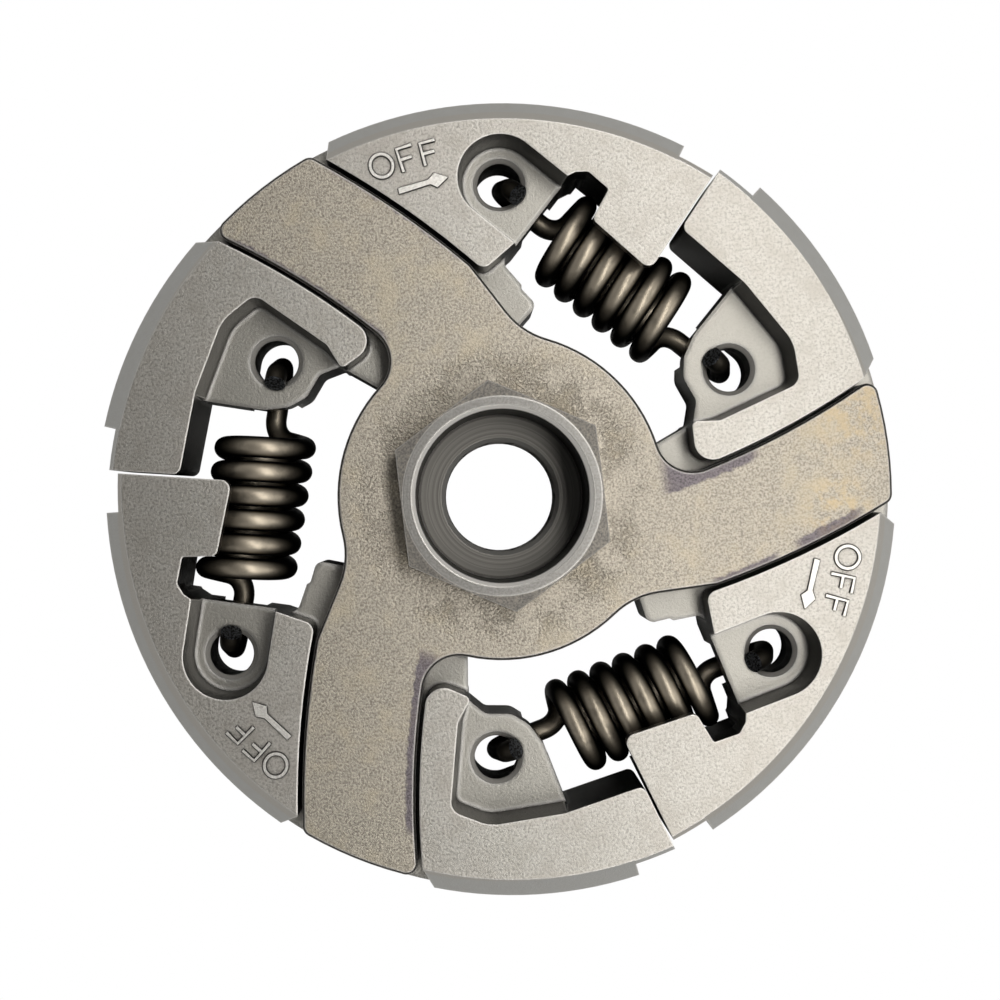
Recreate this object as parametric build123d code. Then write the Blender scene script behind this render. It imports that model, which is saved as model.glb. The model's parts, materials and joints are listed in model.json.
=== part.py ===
"""Three-shoe centrifugal clutch of a chainsaw.

A cast spider carries three sintered shoes on its curved arms, and three tension springs hold them in. The
origin is on the bore's axis, on the flat back. +Z points to the hexagon, and +X along the first arm.
"""

import os
from math import acos, atan2, cos, degrees, hypot, radians, sin, sqrt, tan

from build123d import *

# Sizes in millimetres and angles in degrees. Outlines are given for the arm that points along +X.
# The trailing block of a shoe lies clockwise of its arm, the leading block counter-clockwise.

SHOE_COUNT = 3
ARM_STEP = 360 / SHOE_COUNT

# Hub and hexagon of the spider
HUB_RADIUS = 15.8
HUB_HEIGHT = 14.6
HUB_BACK_CHAMFER = 0.6
HEX_ACROSS_FLATS = 19.0
HEX_TOP = 20.4
HEX_TURN = 30.0
HEX_FACE_RADIUS = 9.35
HEX_CHAMFER_SLOPE = 30.0
COUNTERBORE_RADIUS = 8.15
COUNTERBORE_FLOOR = 8.0
COUNTERBORE_LEAD_IN = 0.35
THREAD_MINOR_RADIUS = 5.46
THREAD_LEAD_IN = 0.4

# Arms of the spider, between two arcs about one guide centre. The leading arc dips below the bore's axis.
ARM_LEADING_RADIUS = 75.75
ARM_LEADING_DIP = 2.25
GUIDE_CENTRE_X = 0.5
ARM_WIDTH = 10.9
ARM_THICKNESS = 4.8
ARM_END_RADIUS = 37.6
ARM_CORNER_FILLET = 1.1
ARM_EDGE_CHAMFER = 0.25
NECK_START = 19.6
NECK_VALLEY = -11.35
ROOT_FILLET_LEADING = 3.5
ROOT_FILLET_TRAILING = 7.5

# Shoes. The friction arc has its own centre, because the shoe rests drawn in from the drum.
FRICTION_RADIUS = 39.35
DRAW_IN = 1.3
DRAW_IN_DIRECTION = 147.0
SHOE_DEPTH = 15.0
BASE_DEPTH = 9.5
FRONT_CHAMFER = 1.8
RELIEF_RADIUS = 38.0
RELIEF_CHAMFER = 0.4
FRICTION_START = -63.6
FRICTION_END = 41.2
PARTING_ANGLE = -70.6
PARTING_GAP = 0.26
GUIDE_CLEARANCE = 0.4
HUB_CLEARANCE = 0.35

# Trailing block: tip over the spring, notch, mouth of the pocket and foot beside the arm's root
TRAILING_TIP_REACH = 25.95
TRAILING_TIP_FILLET = 0.9
TIP_CORNER = (16.0, -22.95, 0.7)
NOTCH_CORNERS = [(17.35, -25.95, 0.3), (19.9, -25.4, 0.5), (20.6, -24.4, 0.3)]
MOUTH_END = (20.8, -23.3, 0)
FOOT_END = (18.65, -15.5, 0)
FOOT_CORNER = (17.85, -11.6)
FOOT_FILLET = 1.0
TRAILING_OUTER_CORNER = (36.0, -6.05)
TRAILING_OUTER_SLOPE = -0.85

# Leading block: tip, inner wall of the rim, pocket and foot
LEADING_TIP_REACH = 31.0
LEADING_TIP_FILLET = 0.8
LEADING_WALL = [(25.7, 17.45, 4.0), (29.6, 11.3, 4.0), (29.75, 7.3, 1.3), (21.7, 4.65, 1.0), (19.0, 4.9, 0.5)]
LEADING_FOOT = (18.95, 0.4)
LEADING_FOOT_FILLET = 1.8
LEADING_OUTER_CORNER = (35.75, 6.84)
LEADING_OUTER_SLOPE = 1.2

# Base behind the arm: tab beside the hub, and the ledge that carries the second hole
TAB_CORNERS = [
    (19.6, -15.9, 0.6),
    (18.1, -14.0, 1.0),
    (15.4, -14.2, 0.3),
    (15.1, -13.95, 0.3),
    (12.9, -14.2, 0.8),
]
TAB_ROOT = (11.9, -9.5, 0)
WEB_CORNERS = [(15.0, 2.85, 0), (19.7, 4.9, 0.4)]
LEDGE_CORNERS = [(20.3, 7.0, 1.0), (19.3, 9.4, 1.6), (19.6, 11.4, 1.4), (20.8, 13.45, 2.0), (25.3, 17.85, 0)]

# Spring anchor holes in the shoes, and the pocket round the trailing one
TRAILING_HOLE = (24.6, -18.35)
LEADING_HOLE = (23.85, 9.68)
HOLE_RADIUS = 2.15
HOLE_COUNTERSINK = 0.45
POCKET_RADIUS = 4.1
LEDGE_THICKNESS = 4.0
POCKET_LENGTH = 7.0
HOOK_SLOT_HALF_WIDTH = 2.4
HOOK_SLOT_LENGTH = 9.0

# Springs
WIRE_RADIUS = 1.05
COIL_OUTER_RADIUS = 5.0
COIL_PITCH = 2.4
COIL_TURNS = 6
COIL_HEIGHT = 7.5
COIL_SIDE_CLEARANCE = 0.9
COIL_END_CLEARANCE = 0.7
HOOK_EARLY_TURN = 30.0
HOOK_SIDE_BEND = 2.2
HOOK_UP_BEND = 1.6
HOOK_LEAN = 9.0
HOOK_SETBACK = 1.85
HOOK_NECK_HEIGHT = 9.35
HOOK_TIP_BEND = 1.4
HOOK_TIP_LEAN = 58.0
HOOK_TIP_LENGTH = 0.7

# Worked out from the sizes above
ARM_TRAILING_RADIUS = ARM_LEADING_RADIUS + ARM_WIDTH
GUIDE_CENTRE = (GUIDE_CENTRE_X, ARM_LEADING_RADIUS - ARM_LEADING_DIP)
ARM_BACK = HUB_HEIGHT - ARM_THICKNESS
LEDGE_BACK = BASE_DEPTH - LEDGE_THICKNESS
COIL_RADIUS = COIL_OUTER_RADIUS - WIRE_RADIUS
FAR = 60.0


def polar(radius, angle, centre=(0, 0)):
    """Point at a radius and an angle about a centre."""
    return (centre[0] + radius * cos(radians(angle)), centre[1] + radius * sin(radians(angle)))


def turned(point, angle):
    """Point turned by an angle about the bore's axis."""
    return polar(hypot(*point), degrees(atan2(point[1], point[0])) + angle)


SHOE_CENTRE = polar(DRAW_IN, DRAW_IN_DIRECTION)
FAR_HOLE = turned(LEADING_HOLE, -ARM_STEP)
SPRING_ANGLE = degrees(atan2(TRAILING_HOLE[1] - FAR_HOLE[1], TRAILING_HOLE[0] - FAR_HOLE[0]))
SPRING_SPAN = hypot(TRAILING_HOLE[0] - FAR_HOLE[0], TRAILING_HOLE[1] - FAR_HOLE[1])
SPRING_FRAME = Plane(
    origin=((TRAILING_HOLE[0] + FAR_HOLE[0]) / 2, (TRAILING_HOLE[1] + FAR_HOLE[1]) / 2, COIL_HEIGHT),
    x_dir=(cos(radians(SPRING_ANGLE)), sin(radians(SPRING_ANGLE)), 0),
    z_dir=(0, 0, 1),
)


def circle_at(centre, radius):
    """Flat disc about a centre."""
    return Pos(centre[0], centre[1]) * Circle(radius)


def polygon(corners):
    """Flat outline. Each corner is (x, y, fillet radius)."""
    points = [(x, y) for x, y, _ in corners]
    return make_face(FilletPolyline(*points, radius=[r for _, _, r in corners], close=True))


def raised(outline, low, high):
    """Upright prism of a flat outline between two heights."""
    return Pos(0, 0, low) * extrude(outline, high - low)


def spun(profile, centre=(0, 0)):
    """Solid turned from (radius, height) corners about an upright axis."""
    outline = make_face(Polyline(*[(r, 0, z) for r, z in profile], close=True))
    return Pos(centre[0], centre[1], 0) * revolve(outline, Axis.Z)


def rounded(outline, point, radius):
    """Outline with a fillet at the corner nearest to a point."""
    corner = min(outline.vertices(), key=lambda v: hypot(v.X - point[0], v.Y - point[1]))
    return fillet(corner, radius)


def parting(reach, angle, side):
    """Point on a shoe's parting face, half the gap to one side of a ray from the bore's axis."""
    x, y = polar(reach, angle)
    return polar(side * PARTING_GAP / 2, angle + 90, (x, y))


def slot(point, angle, half_width, length):
    """Flat slot with a round end about a point, square at the end that lies towards an angle."""
    run = Rot(0, 0, angle) * Pos(length / 2, 0) * Rectangle(length, 2 * half_width)
    return Pos(point[0], point[1]) * (run + Circle(half_width))


def outer_end(corner, slope):
    """Far point of the line that a block's end follows outward from a corner."""
    return (FAR, corner[1] + slope * (FAR - corner[0]))


def flank(radius, x):
    """Height of a flank arc about the guide centre at a distance along the arm."""
    return GUIDE_CENTRE[1] - sqrt(radius**2 - (x - GUIDE_CENTRE[0]) ** 2)


def arm_outline():
    """Outline of the hub with one curved arm, its two roots and its rounded end."""
    band = circle_at(GUIDE_CENTRE, ARM_TRAILING_RADIUS) - circle_at(GUIDE_CENTRE, ARM_LEADING_RADIUS)
    blade = band & polygon([(NECK_START, -FAR, 0), (FAR, -FAR, 0), (FAR, FAR, 0), (NECK_START, FAR, 0)])
    blade = blade & Circle(ARM_END_RADIUS)
    low = (NECK_START, flank(ARM_TRAILING_RADIUS, NECK_START), 0)
    high = (NECK_START, flank(ARM_LEADING_RADIUS, NECK_START), 0)
    neck = polygon([(0, NECK_VALLEY, 0), low, high, (0, flank(ARM_LEADING_RADIUS, 0), 0)])
    outline = Circle(HUB_RADIUS) + neck + blade
    for radius in (ARM_LEADING_RADIUS, ARM_TRAILING_RADIUS):
        end = (ARM_END_RADIUS, flank(radius, ARM_END_RADIUS))
        outline = rounded(outline, end, ARM_CORNER_FILLET)
    outline = rounded(outline, (HUB_RADIUS, 0), ROOT_FILLET_LEADING)
    return rounded(outline, (sqrt(HUB_RADIUS**2 - NECK_VALLEY**2), NECK_VALLEY), ROOT_FILLET_TRAILING)


def make_spider():
    """Hub, hexagon and arms, cast in one piece."""
    outline = arm_outline()
    plate = raised(outline, ARM_BACK, HUB_HEIGHT)
    for k in range(1, SHOE_COUNT):
        plate += Rot(0, 0, k * ARM_STEP) * raised(outline, ARM_BACK, HUB_HEIGHT)
    plate = chamfer(plate.faces().sort_by(Axis.Z)[-1].outer_wire().edges(), ARM_EDGE_CHAMFER)

    hub_profile = [
        (0, 0),
        (HUB_RADIUS - HUB_BACK_CHAMFER, 0),
        (HUB_RADIUS, HUB_BACK_CHAMFER),
        (HUB_RADIUS, ARM_BACK),
        (0, ARM_BACK),
    ]
    hexagon = RegularPolygon(HEX_ACROSS_FLATS / 2, 6, major_radius=False)
    boss = raised(Rot(0, 0, HEX_TURN) * hexagon, ARM_BACK, HEX_TOP)
    corner = HEX_ACROSS_FLATS / 2 / cos(radians(30)) + 1
    drop = (corner - HEX_FACE_RADIUS) * tan(radians(HEX_CHAMFER_SLOPE))
    shoulder = [(corner, ARM_BACK), (corner, HEX_TOP - drop), (HEX_FACE_RADIUS, HEX_TOP)]
    boss &= spun([(0, ARM_BACK), *shoulder, (0, HEX_TOP)])

    bore = [
        (0, -1),
        (THREAD_MINOR_RADIUS, -1),
        (THREAD_MINOR_RADIUS, COUNTERBORE_FLOOR - THREAD_LEAD_IN),
        (THREAD_MINOR_RADIUS + THREAD_LEAD_IN, COUNTERBORE_FLOOR),
        (COUNTERBORE_RADIUS, COUNTERBORE_FLOOR),
        (COUNTERBORE_RADIUS, HEX_TOP - COUNTERBORE_LEAD_IN),
        (COUNTERBORE_RADIUS + COUNTERBORE_LEAD_IN + 1, HEX_TOP + 1),
        (0, HEX_TOP + 1),
    ]
    return spun(hub_profile) + plate + boss - spun(bore)


def rim_envelope():
    """Turned outside of a shoe: the friction arc with its wide chamfer, and the relieved tips."""
    friction = [
        (0, 0),
        (FRICTION_RADIUS, 0),
        (FRICTION_RADIUS, SHOE_DEPTH - FRONT_CHAMFER),
        (FRICTION_RADIUS - FRONT_CHAMFER, SHOE_DEPTH),
        (0, SHOE_DEPTH),
    ]
    relief = [
        (0, 0),
        (RELIEF_RADIUS, 0),
        (RELIEF_RADIUS, SHOE_DEPTH - RELIEF_CHAMFER),
        (RELIEF_RADIUS - RELIEF_CHAMFER, SHOE_DEPTH),
        (0, SHOE_DEPTH),
    ]
    rays = [FRICTION_START + (FRICTION_END - FRICTION_START) * i / 4 for i in range(5)]
    fan = polygon([(*SHOE_CENTRE, 0)] + [(*polar(2 * FAR, a, SHOE_CENTRE), 0) for a in rays])
    wedge = raised(fan, 0, SHOE_DEPTH)
    return (spun(friction, SHOE_CENTRE) & wedge) + (spun(relief, SHOE_CENTRE) - wedge)


def trailing_outline():
    """Trailing half of a shoe from its parting face to the arm, with the tip that overhangs the spring."""
    return polygon(
        [
            (*parting(FAR, PARTING_ANGLE, 1), 0),
            (*parting(TRAILING_TIP_REACH, PARTING_ANGLE, 1), TRAILING_TIP_FILLET),
            TIP_CORNER,
            *NOTCH_CORNERS,
            MOUTH_END,
            FOOT_END,
            (FOOT_CORNER[0], TRAILING_OUTER_CORNER[1] + 2, 0),
            (TRAILING_OUTER_CORNER[0], TRAILING_OUTER_CORNER[1] + 2, 0),
            (*TRAILING_OUTER_CORNER, 0),
            (*outer_end(TRAILING_OUTER_CORNER, TRAILING_OUTER_SLOPE), 0),
        ]
    )


def leading_outline():
    """Leading half of a shoe from the arm to its parting face."""
    return polygon(
        [
            (LEADING_FOOT[0], LEADING_FOOT[1] - 3, 0),
            (LEADING_OUTER_CORNER[0], LEADING_FOOT[1] - 3, 0),
            (*LEADING_OUTER_CORNER, 0),
            (*outer_end(LEADING_OUTER_CORNER, LEADING_OUTER_SLOPE), 0),
            (*parting(FAR, PARTING_ANGLE + ARM_STEP, -1), 0),
            (*parting(LEADING_TIP_REACH, PARTING_ANGLE + ARM_STEP, -1), LEADING_TIP_FILLET),
            *LEADING_WALL,
        ]
    )


def base_outline():
    """Whole shoe behind the arm: both halves, the web between them, the tab and the leading ledge."""
    web = polygon(
        [
            MOUTH_END,
            *TAB_CORNERS,
            TAB_ROOT,
            *WEB_CORNERS,
            *LEDGE_CORNERS,
            (FAR, LEDGE_CORNERS[-1][1], 0),
            (FAR, MOUTH_END[1], 0),
        ]
    )
    return trailing_outline() + leading_outline() + web - Circle(HUB_RADIUS + HUB_CLEARANCE)


def make_shoe():
    """One shoe: base, two blocks that straddle the arm, two ledges with a hole, and room for the spring."""
    base = raised(base_outline(), 0, BASE_DEPTH)

    trailing = trailing_outline() - circle_at(GUIDE_CENTRE, ARM_TRAILING_RADIUS + GUIDE_CLEARANCE)
    trailing = rounded(trailing, FOOT_CORNER, FOOT_FILLET)
    trailing -= slot(TRAILING_HOLE, SPRING_ANGLE + 180, POCKET_RADIUS, POCKET_LENGTH)
    leading = leading_outline() & circle_at(GUIDE_CENTRE, ARM_LEADING_RADIUS - GUIDE_CLEARANCE)
    leading = rounded(leading, LEADING_FOOT, LEADING_FOOT_FILLET)
    blocks = raised(trailing, BASE_DEPTH, SHOE_DEPTH) + raised(leading, BASE_DEPTH, SHOE_DEPTH)
    shoe = (base + blocks) & rim_envelope()

    ends = ((TRAILING_HOLE, SPRING_ANGLE + 180), (LEADING_HOLE, SPRING_ANGLE + ARM_STEP))
    for hole, towards_coil in ends:
        drilled = spun(
            [
                (0, -1),
                (HOLE_RADIUS, -1),
                (HOLE_RADIUS, BASE_DEPTH - HOLE_COUNTERSINK),
                (HOLE_RADIUS + HOLE_COUNTERSINK, BASE_DEPTH),
                (HOLE_RADIUS + HOLE_COUNTERSINK, BASE_DEPTH + 1),
                (0, BASE_DEPTH + 1),
            ],
            hole,
        )
        shoe -= drilled
        shoe -= raised(slot(hole, towards_coil, HOOK_SLOT_HALF_WIDTH, HOOK_SLOT_LENGTH), -1, LEDGE_BACK)

    coil_half = COIL_PITCH * COIL_TURNS / 2 + WIRE_RADIUS + COIL_END_CLEARANCE
    room = COIL_OUTER_RADIUS + COIL_SIDE_CLEARANCE
    tunnel = SPRING_FRAME * Pos(coil_half - FAR / 2, 0, 0) * Rot(0, 90, 0) * Cylinder(room, FAR)
    trench = SPRING_FRAME * Pos(coil_half - FAR / 2, 0, -COIL_HEIGHT) * Box(FAR, 2 * room, 2 * COIL_HEIGHT)
    return shoe - tunnel - trench


def bend(point, heading, new_heading, radius):
    """Arc that turns from one heading to another, and its end point."""
    turn = acos(heading.dot(new_heading))
    inward = (new_heading - heading * heading.dot(new_heading)).normalized()

    def along(angle):
        return point + heading * (radius * sin(angle)) + inward * (radius * (1 - cos(angle)))

    return ThreePointArc(point, along(turn / 2), along(turn)), along(turn)


def hook(point, heading, outward, hole_x):
    """Hook wire that leaves the coil, comes up through the hole and bends back over the ledge."""
    side, end = bend(point, heading, outward, HOOK_SIDE_BEND)
    lift_x = hole_x - outward.X * HOOK_SETBACK
    corner = Vector(lift_x, end.Y, end.Z)
    leans = (radians(HOOK_LEAN), radians(HOOK_TIP_LEAN))
    rising, leaning = (Vector(-outward.X * sin(lean), 0, cos(lean)) for lean in leans)
    lift, low = bend(corner, outward, rising, HOOK_UP_BEND)
    neck = low + rising * ((HOOK_NECK_HEIGHT - COIL_HEIGHT - low.Z) / rising.Z)
    fold, high = bend(neck, rising, leaning, HOOK_TIP_BEND)
    tip = Line(high, high + leaning * HOOK_TIP_LENGTH)
    path = Wire([run.edge() for run in (side, Line(end, corner), lift, Line(low, neck), fold, tip)])
    return sweep(Plane(origin=point, z_dir=heading) * Circle(WIRE_RADIUS), path=path)


def make_spring():
    """Tension spring in its own frame: a right-hand coil along X, with a hook at each end."""
    height = COIL_PITCH * (COIL_TURNS - 2 * HOOK_EARLY_TURN / 360)
    start = radians(HOOK_EARLY_TURN - 90)
    along = Plane(origin=(-height / 2, 0, 0), x_dir=(0, cos(start), sin(start)), z_dir=(1, 0, 0))
    helix = along.location * Helix(COIL_PITCH, height, COIL_RADIUS)
    wire = Plane(origin=helix @ 0, z_dir=helix % 0) * Circle(WIRE_RADIUS)
    coil = sweep(wire, path=helix, is_frenet=True)
    near = hook(helix @ 0, (helix % 0) * -1, Vector(-1, 0, 0), -SPRING_SPAN / 2)
    far = hook(helix @ 1, helix % 1, Vector(1, 0, 0), SPRING_SPAN / 2)
    return near + coil + far


os.makedirs("parts", exist_ok=True)
export_step(make_spider(), "parts/spider.step")
shoe = make_shoe()
spring = SPRING_FRAME * make_spring()
for k in range(SHOE_COUNT):
    export_step(Rot(0, 0, k * ARM_STEP) * shoe, f"parts/shoe_{k + 1}.step")
    export_step(Rot(0, 0, k * ARM_STEP) * spring, f"parts/spring_{k + 1}.step")
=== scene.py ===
"""Looks of the three-shoe centrifugal clutch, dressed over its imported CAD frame.

Sizes are in metres in the row frame: the origin is on the bore's axis at the flat back, +Z points to the
hexagon and +X lies along the first arm.
"""

import json
import logging
from dataclasses import dataclass, field
from enum import Enum
from math import acos, atan2, cos, hypot, pi, radians, sin
from typing import Any, Iterable, Sequence

import bmesh
import bpy
from mathutils import Matrix, Vector

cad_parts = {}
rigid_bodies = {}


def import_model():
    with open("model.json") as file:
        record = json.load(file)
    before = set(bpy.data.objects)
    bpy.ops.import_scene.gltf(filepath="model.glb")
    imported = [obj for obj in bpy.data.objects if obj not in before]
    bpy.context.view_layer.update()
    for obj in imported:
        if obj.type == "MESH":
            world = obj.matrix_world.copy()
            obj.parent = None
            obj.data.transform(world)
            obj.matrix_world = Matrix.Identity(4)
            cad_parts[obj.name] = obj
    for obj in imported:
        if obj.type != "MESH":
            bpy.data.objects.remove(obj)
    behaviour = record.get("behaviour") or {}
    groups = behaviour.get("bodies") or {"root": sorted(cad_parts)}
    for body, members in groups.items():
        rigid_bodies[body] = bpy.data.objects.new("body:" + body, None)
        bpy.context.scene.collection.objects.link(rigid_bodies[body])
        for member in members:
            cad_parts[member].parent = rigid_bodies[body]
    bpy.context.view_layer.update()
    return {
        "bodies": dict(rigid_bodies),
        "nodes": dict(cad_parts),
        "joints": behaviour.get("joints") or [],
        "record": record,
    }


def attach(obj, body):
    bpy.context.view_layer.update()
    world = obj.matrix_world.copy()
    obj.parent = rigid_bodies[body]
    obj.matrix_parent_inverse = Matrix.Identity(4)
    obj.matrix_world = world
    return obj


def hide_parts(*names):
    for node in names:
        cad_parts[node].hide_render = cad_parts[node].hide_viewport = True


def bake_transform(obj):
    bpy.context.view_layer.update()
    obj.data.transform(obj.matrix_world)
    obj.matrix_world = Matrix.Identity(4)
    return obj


log = logging.getLogger("clutch")
logging.basicConfig(level=logging.INFO, format="%(message)s")

MM = 0.001
SHOE_COUNT = 3
ARM_STEP = radians(120)
TRAILING_HOLE = (24.6 * MM, -18.35 * MM)
LEADING_HOLE = (23.85 * MM, 9.68 * MM)
MERGE_DISTANCE = 0.0005 * MM
SOLID_SHARP_ANGLE = 28.0
PARALLEL = 0.999
Colour = tuple[float, float, float]
Place = tuple[float, float, float]
Flat = tuple[float, float]
# Where a look starts to show, and where it is full.
Fade = tuple[float, float]
Socket = bpy.types.NodeSocket


class Slot(Enum):
    """The record's material slots."""

    CAST = "cast_steel"
    SINTERED = "sintered_steel"
    SPRING = "spring_steel"


@dataclass(frozen=True)
class Noise:
    """A noise texture's scale, detail and roughness."""

    scale: float
    detail: float
    rough: float


class Graph:
    """A node tree with short calls for the nodes that finishes and geometry need."""

    def __init__(self, tree: bpy.types.NodeTree) -> None:
        """Starts on a tree.

        Args:
            tree: a shader or geometry node tree.
        """
        self.tree = tree

    def feed(self, socket: Socket, value: Any) -> None:
        """Links or sets one input.

        Args:
            socket: the input.
            value: another node's output, or a plain value.
        """
        if isinstance(value, Socket):
            self.tree.links.new(value, socket)
        else:
            socket.default_value = value

    def node(self, kind: str, inputs: dict[Any, Any] | None = None, **settings: Any) -> bpy.types.Node:
        """Adds a node.

        Args:
            kind: the node's type name.
            inputs: values or outputs by input name or number.
            settings: the node's own properties.

        Returns:
            The node.
        """
        made = self.tree.nodes.new(kind)
        for name, value in settings.items():
            setattr(made, name, value)
        for key, value in (inputs or {}).items():
            self.feed(made.inputs[key], value)
        return made

    def math(self, operation: str, a: Any, b: Any = 0.0) -> Socket:
        """Result of one math operation on two numbers."""
        return self.node("ShaderNodeMath", {0: a, 1: b}, operation=operation).outputs[0]

    def step(self, value: Any, low: float, high: float) -> Socket:
        """Smooth step of a number from 0 at low to 1 at high."""
        made = self.node("ShaderNodeMapRange", {0: value, 1: low, 2: high}, interpolation_type="SMOOTHSTEP")
        return made.outputs[0]

    def scaled(self, value: Any, low: float, high: float) -> Socket:
        """A number from 0..1 stretched to low..high."""
        return self.node("ShaderNodeMapRange", {0: value, 3: low, 4: high}, clamp=True).outputs[0]

    def mix(self, factor: Any, a: Any, b: Any, blend: str = "MIX") -> Socket:
        """Colour between a and b."""
        sides = [(*side, 1.0) if isinstance(side, tuple) else side for side in (a, b)]
        inputs = {0: factor, 6: sides[0], 7: sides[1]}
        return self.node("ShaderNodeMix", inputs, data_type="RGBA", blend_type=blend).outputs[2]

    def product(self, *factors: Any) -> Socket:
        """Product of two or more numbers."""
        made = factors[0]
        for factor in factors[1:]:
            made = self.math("MULTIPLY", made, factor)
        return made

    def rest(self, value: Any) -> Socket:
        """What a number leaves of 1."""
        return self.math("SUBTRACT", 1.0, value)

    def distance(self, place: Any, centre: Any) -> Socket:
        """Distance between two places."""
        return self.node("ShaderNodeVectorMath", {0: place, 1: centre}, operation="DISTANCE").outputs[1]

    def dot(self, a: Any, b: Any) -> Socket:
        """Dot product of two vectors."""
        return self.node("ShaderNodeVectorMath", {0: a, 1: b}, operation="DOT_PRODUCT").outputs[1]

    def split(self, vector: Any) -> tuple[Socket, Socket, Socket]:
        """The three parts of a vector."""
        return tuple(self.node("ShaderNodeSeparateXYZ", {0: vector}).outputs)

    def noise(self, place: Any, kind: Noise) -> Socket:
        """Value of a noise texture at a place."""
        inputs = {"Vector": place, "Scale": kind.scale, "Detail": kind.detail, "Roughness": kind.rough}
        return self.node("ShaderNodeTexNoise", inputs).outputs[0]

    def rings(self, radius: Any, scale: float) -> Socket:
        """Noise that varies with the radius only, as turning marks do."""
        inputs = {"W": radius, "Scale": scale, "Detail": 4.0, "Roughness": 0.7}
        return self.node("ShaderNodeTexNoise", inputs, noise_dimensions="1D").outputs[0]


@dataclass
class Surface:
    """The sockets that every metal finish starts from.

    Attributes:
        graph: the material's graph.
        edge_width: how far the rounding of an edge reaches.
        low_edge_width: the same on the ledges, which have wider chamfers.
        roundness: how much of that rounding the shading takes.
        low_height: heights between which a face comes to count as a ledge.
        gap_shade_reach: how near a facing wall must stand for shade to be painted on a face.
        place: place on the object.
        plan: the same place, flattened to the back plane.
        height: height above the back.
        radius: distance from the bore's axis.
        flat: 1 where a face looks up or down.
        slope: 1 on chamfers that look up.
        low: 1 on the ledges and below.
        edge: 1 near any edge.
        bevelled: 1 on the outer half of a ledge's rounded edge, where a bevel's shade is painted.
        gap_light: 0 deep in narrow gaps, where shade is painted, 1 in the open.
        rounded: the normal, softened near edges.
    """

    graph: Graph
    edge_width: float = 0.26 * MM
    low_edge_width: float = 0.26 * MM
    roundness: float = 0.4
    low_height: Fade = (9.8 * MM, 9.6 * MM)
    gap_shade_reach: float = 0.5 * MM
    place: Socket = field(init=False)
    plan: Socket = field(init=False)
    height: Socket = field(init=False)
    radius: Socket = field(init=False)
    flat: Socket = field(init=False)
    slope: Socket = field(init=False)
    low: Socket = field(init=False)
    edge: Socket = field(init=False)
    bevelled: Socket = field(init=False)
    gap_light: Socket = field(init=False)
    rounded: Socket = field(init=False)

    def __post_init__(self) -> None:
        """Adds the shared nodes."""
        graph = self.graph
        self.place = graph.node("ShaderNodeTexCoord").outputs["Object"]
        x, y, self.height = graph.split(self.place)
        self.plan = graph.node("ShaderNodeCombineXYZ", {0: x, 1: y}).outputs[0]
        self.radius = graph.node("ShaderNodeVectorMath", {0: self.plan}, operation="LENGTH").outputs[1]
        self.low = graph.step(self.height, *self.low_height)
        normal = graph.node("ShaderNodeNewGeometry").outputs["Normal"]
        up = graph.split(normal)[2]
        self.flat = graph.step(graph.math("ABSOLUTE", up), 0.80, 0.95)
        self.slope = graph.product(graph.step(up, 0.35, 0.6), graph.rest(self.flat))
        self.round_edges(normal)

    def round_edges(self, normal: Socket) -> None:
        """Adds the nodes that find edges and gaps.

        Args:
            normal: the face's own normal.
        """
        graph = self.graph
        width = graph.scaled(self.low, self.edge_width, self.low_edge_width)
        bevel = graph.node("ShaderNodeBevel", {"Radius": width}, samples=4).outputs[0]
        inputs = {0: self.roundness, 4: normal, 5: bevel}
        between = graph.node("ShaderNodeMix", inputs, data_type="VECTOR").outputs[1]
        self.rounded = graph.node("ShaderNodeVectorMath", {0: between}, operation="NORMALIZE").outputs[0]
        bend = graph.rest(graph.dot(normal, bevel))
        self.edge = graph.step(bend, 0.004, 0.05)
        # Ambient occlusion finds narrow gaps, where the finishes paint shade.
        reach = {"Distance": self.gap_shade_reach}
        open_share = graph.node("ShaderNodeAmbientOcclusion", reach, samples=5).outputs["AO"]
        self.gap_light = graph.step(open_share, 0.50, 0.82)
        outer = graph.product(self.low, graph.step(open_share, 0.70, 0.95))
        self.bevelled = graph.product(graph.step(bend, 0.025, 0.06), outer)


@dataclass(frozen=True)
class Finish:
    """A metal finish with a procedural material."""

    name: str

    def material(self) -> bpy.types.Material:
        """Builds the material.

        Returns:
            The material, with its own node tree.
        """
        made = bpy.data.materials.new(self.name)
        made.use_nodes = True
        made.node_tree.nodes.clear()
        graph = Graph(made.node_tree)
        shader = graph.node("ShaderNodeBsdfPrincipled")
        output = graph.node("ShaderNodeOutputMaterial")
        graph.feed(output.inputs["Surface"], shader.outputs[0])
        self.dress(graph, shader)
        return made

    def dress(self, graph: Graph, shader: bpy.types.Node) -> None:
        """Feeds the shader. Each finish has its own."""
        raise NotImplementedError

    def bump(self, graph: Graph, shader: bpy.types.Node, height: Any, depth: float, base: Any = None) -> None:
        """Feeds the shader's normal with a relief.

        Args:
            graph: the material's graph.
            shader: the shader to feed.
            height: the relief, from 0 to 1.
            depth: the relief's depth in metres.
            base: the normal that the relief stands on, or None for the face's own.
        """
        relief = graph.node("ShaderNodeBump", {"Height": height, "Distance": depth, "Strength": 1.0})
        if base is not None:
            graph.feed(relief.inputs["Normal"], base)
        graph.feed(shader.inputs["Normal"], relief.outputs[0])


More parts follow.
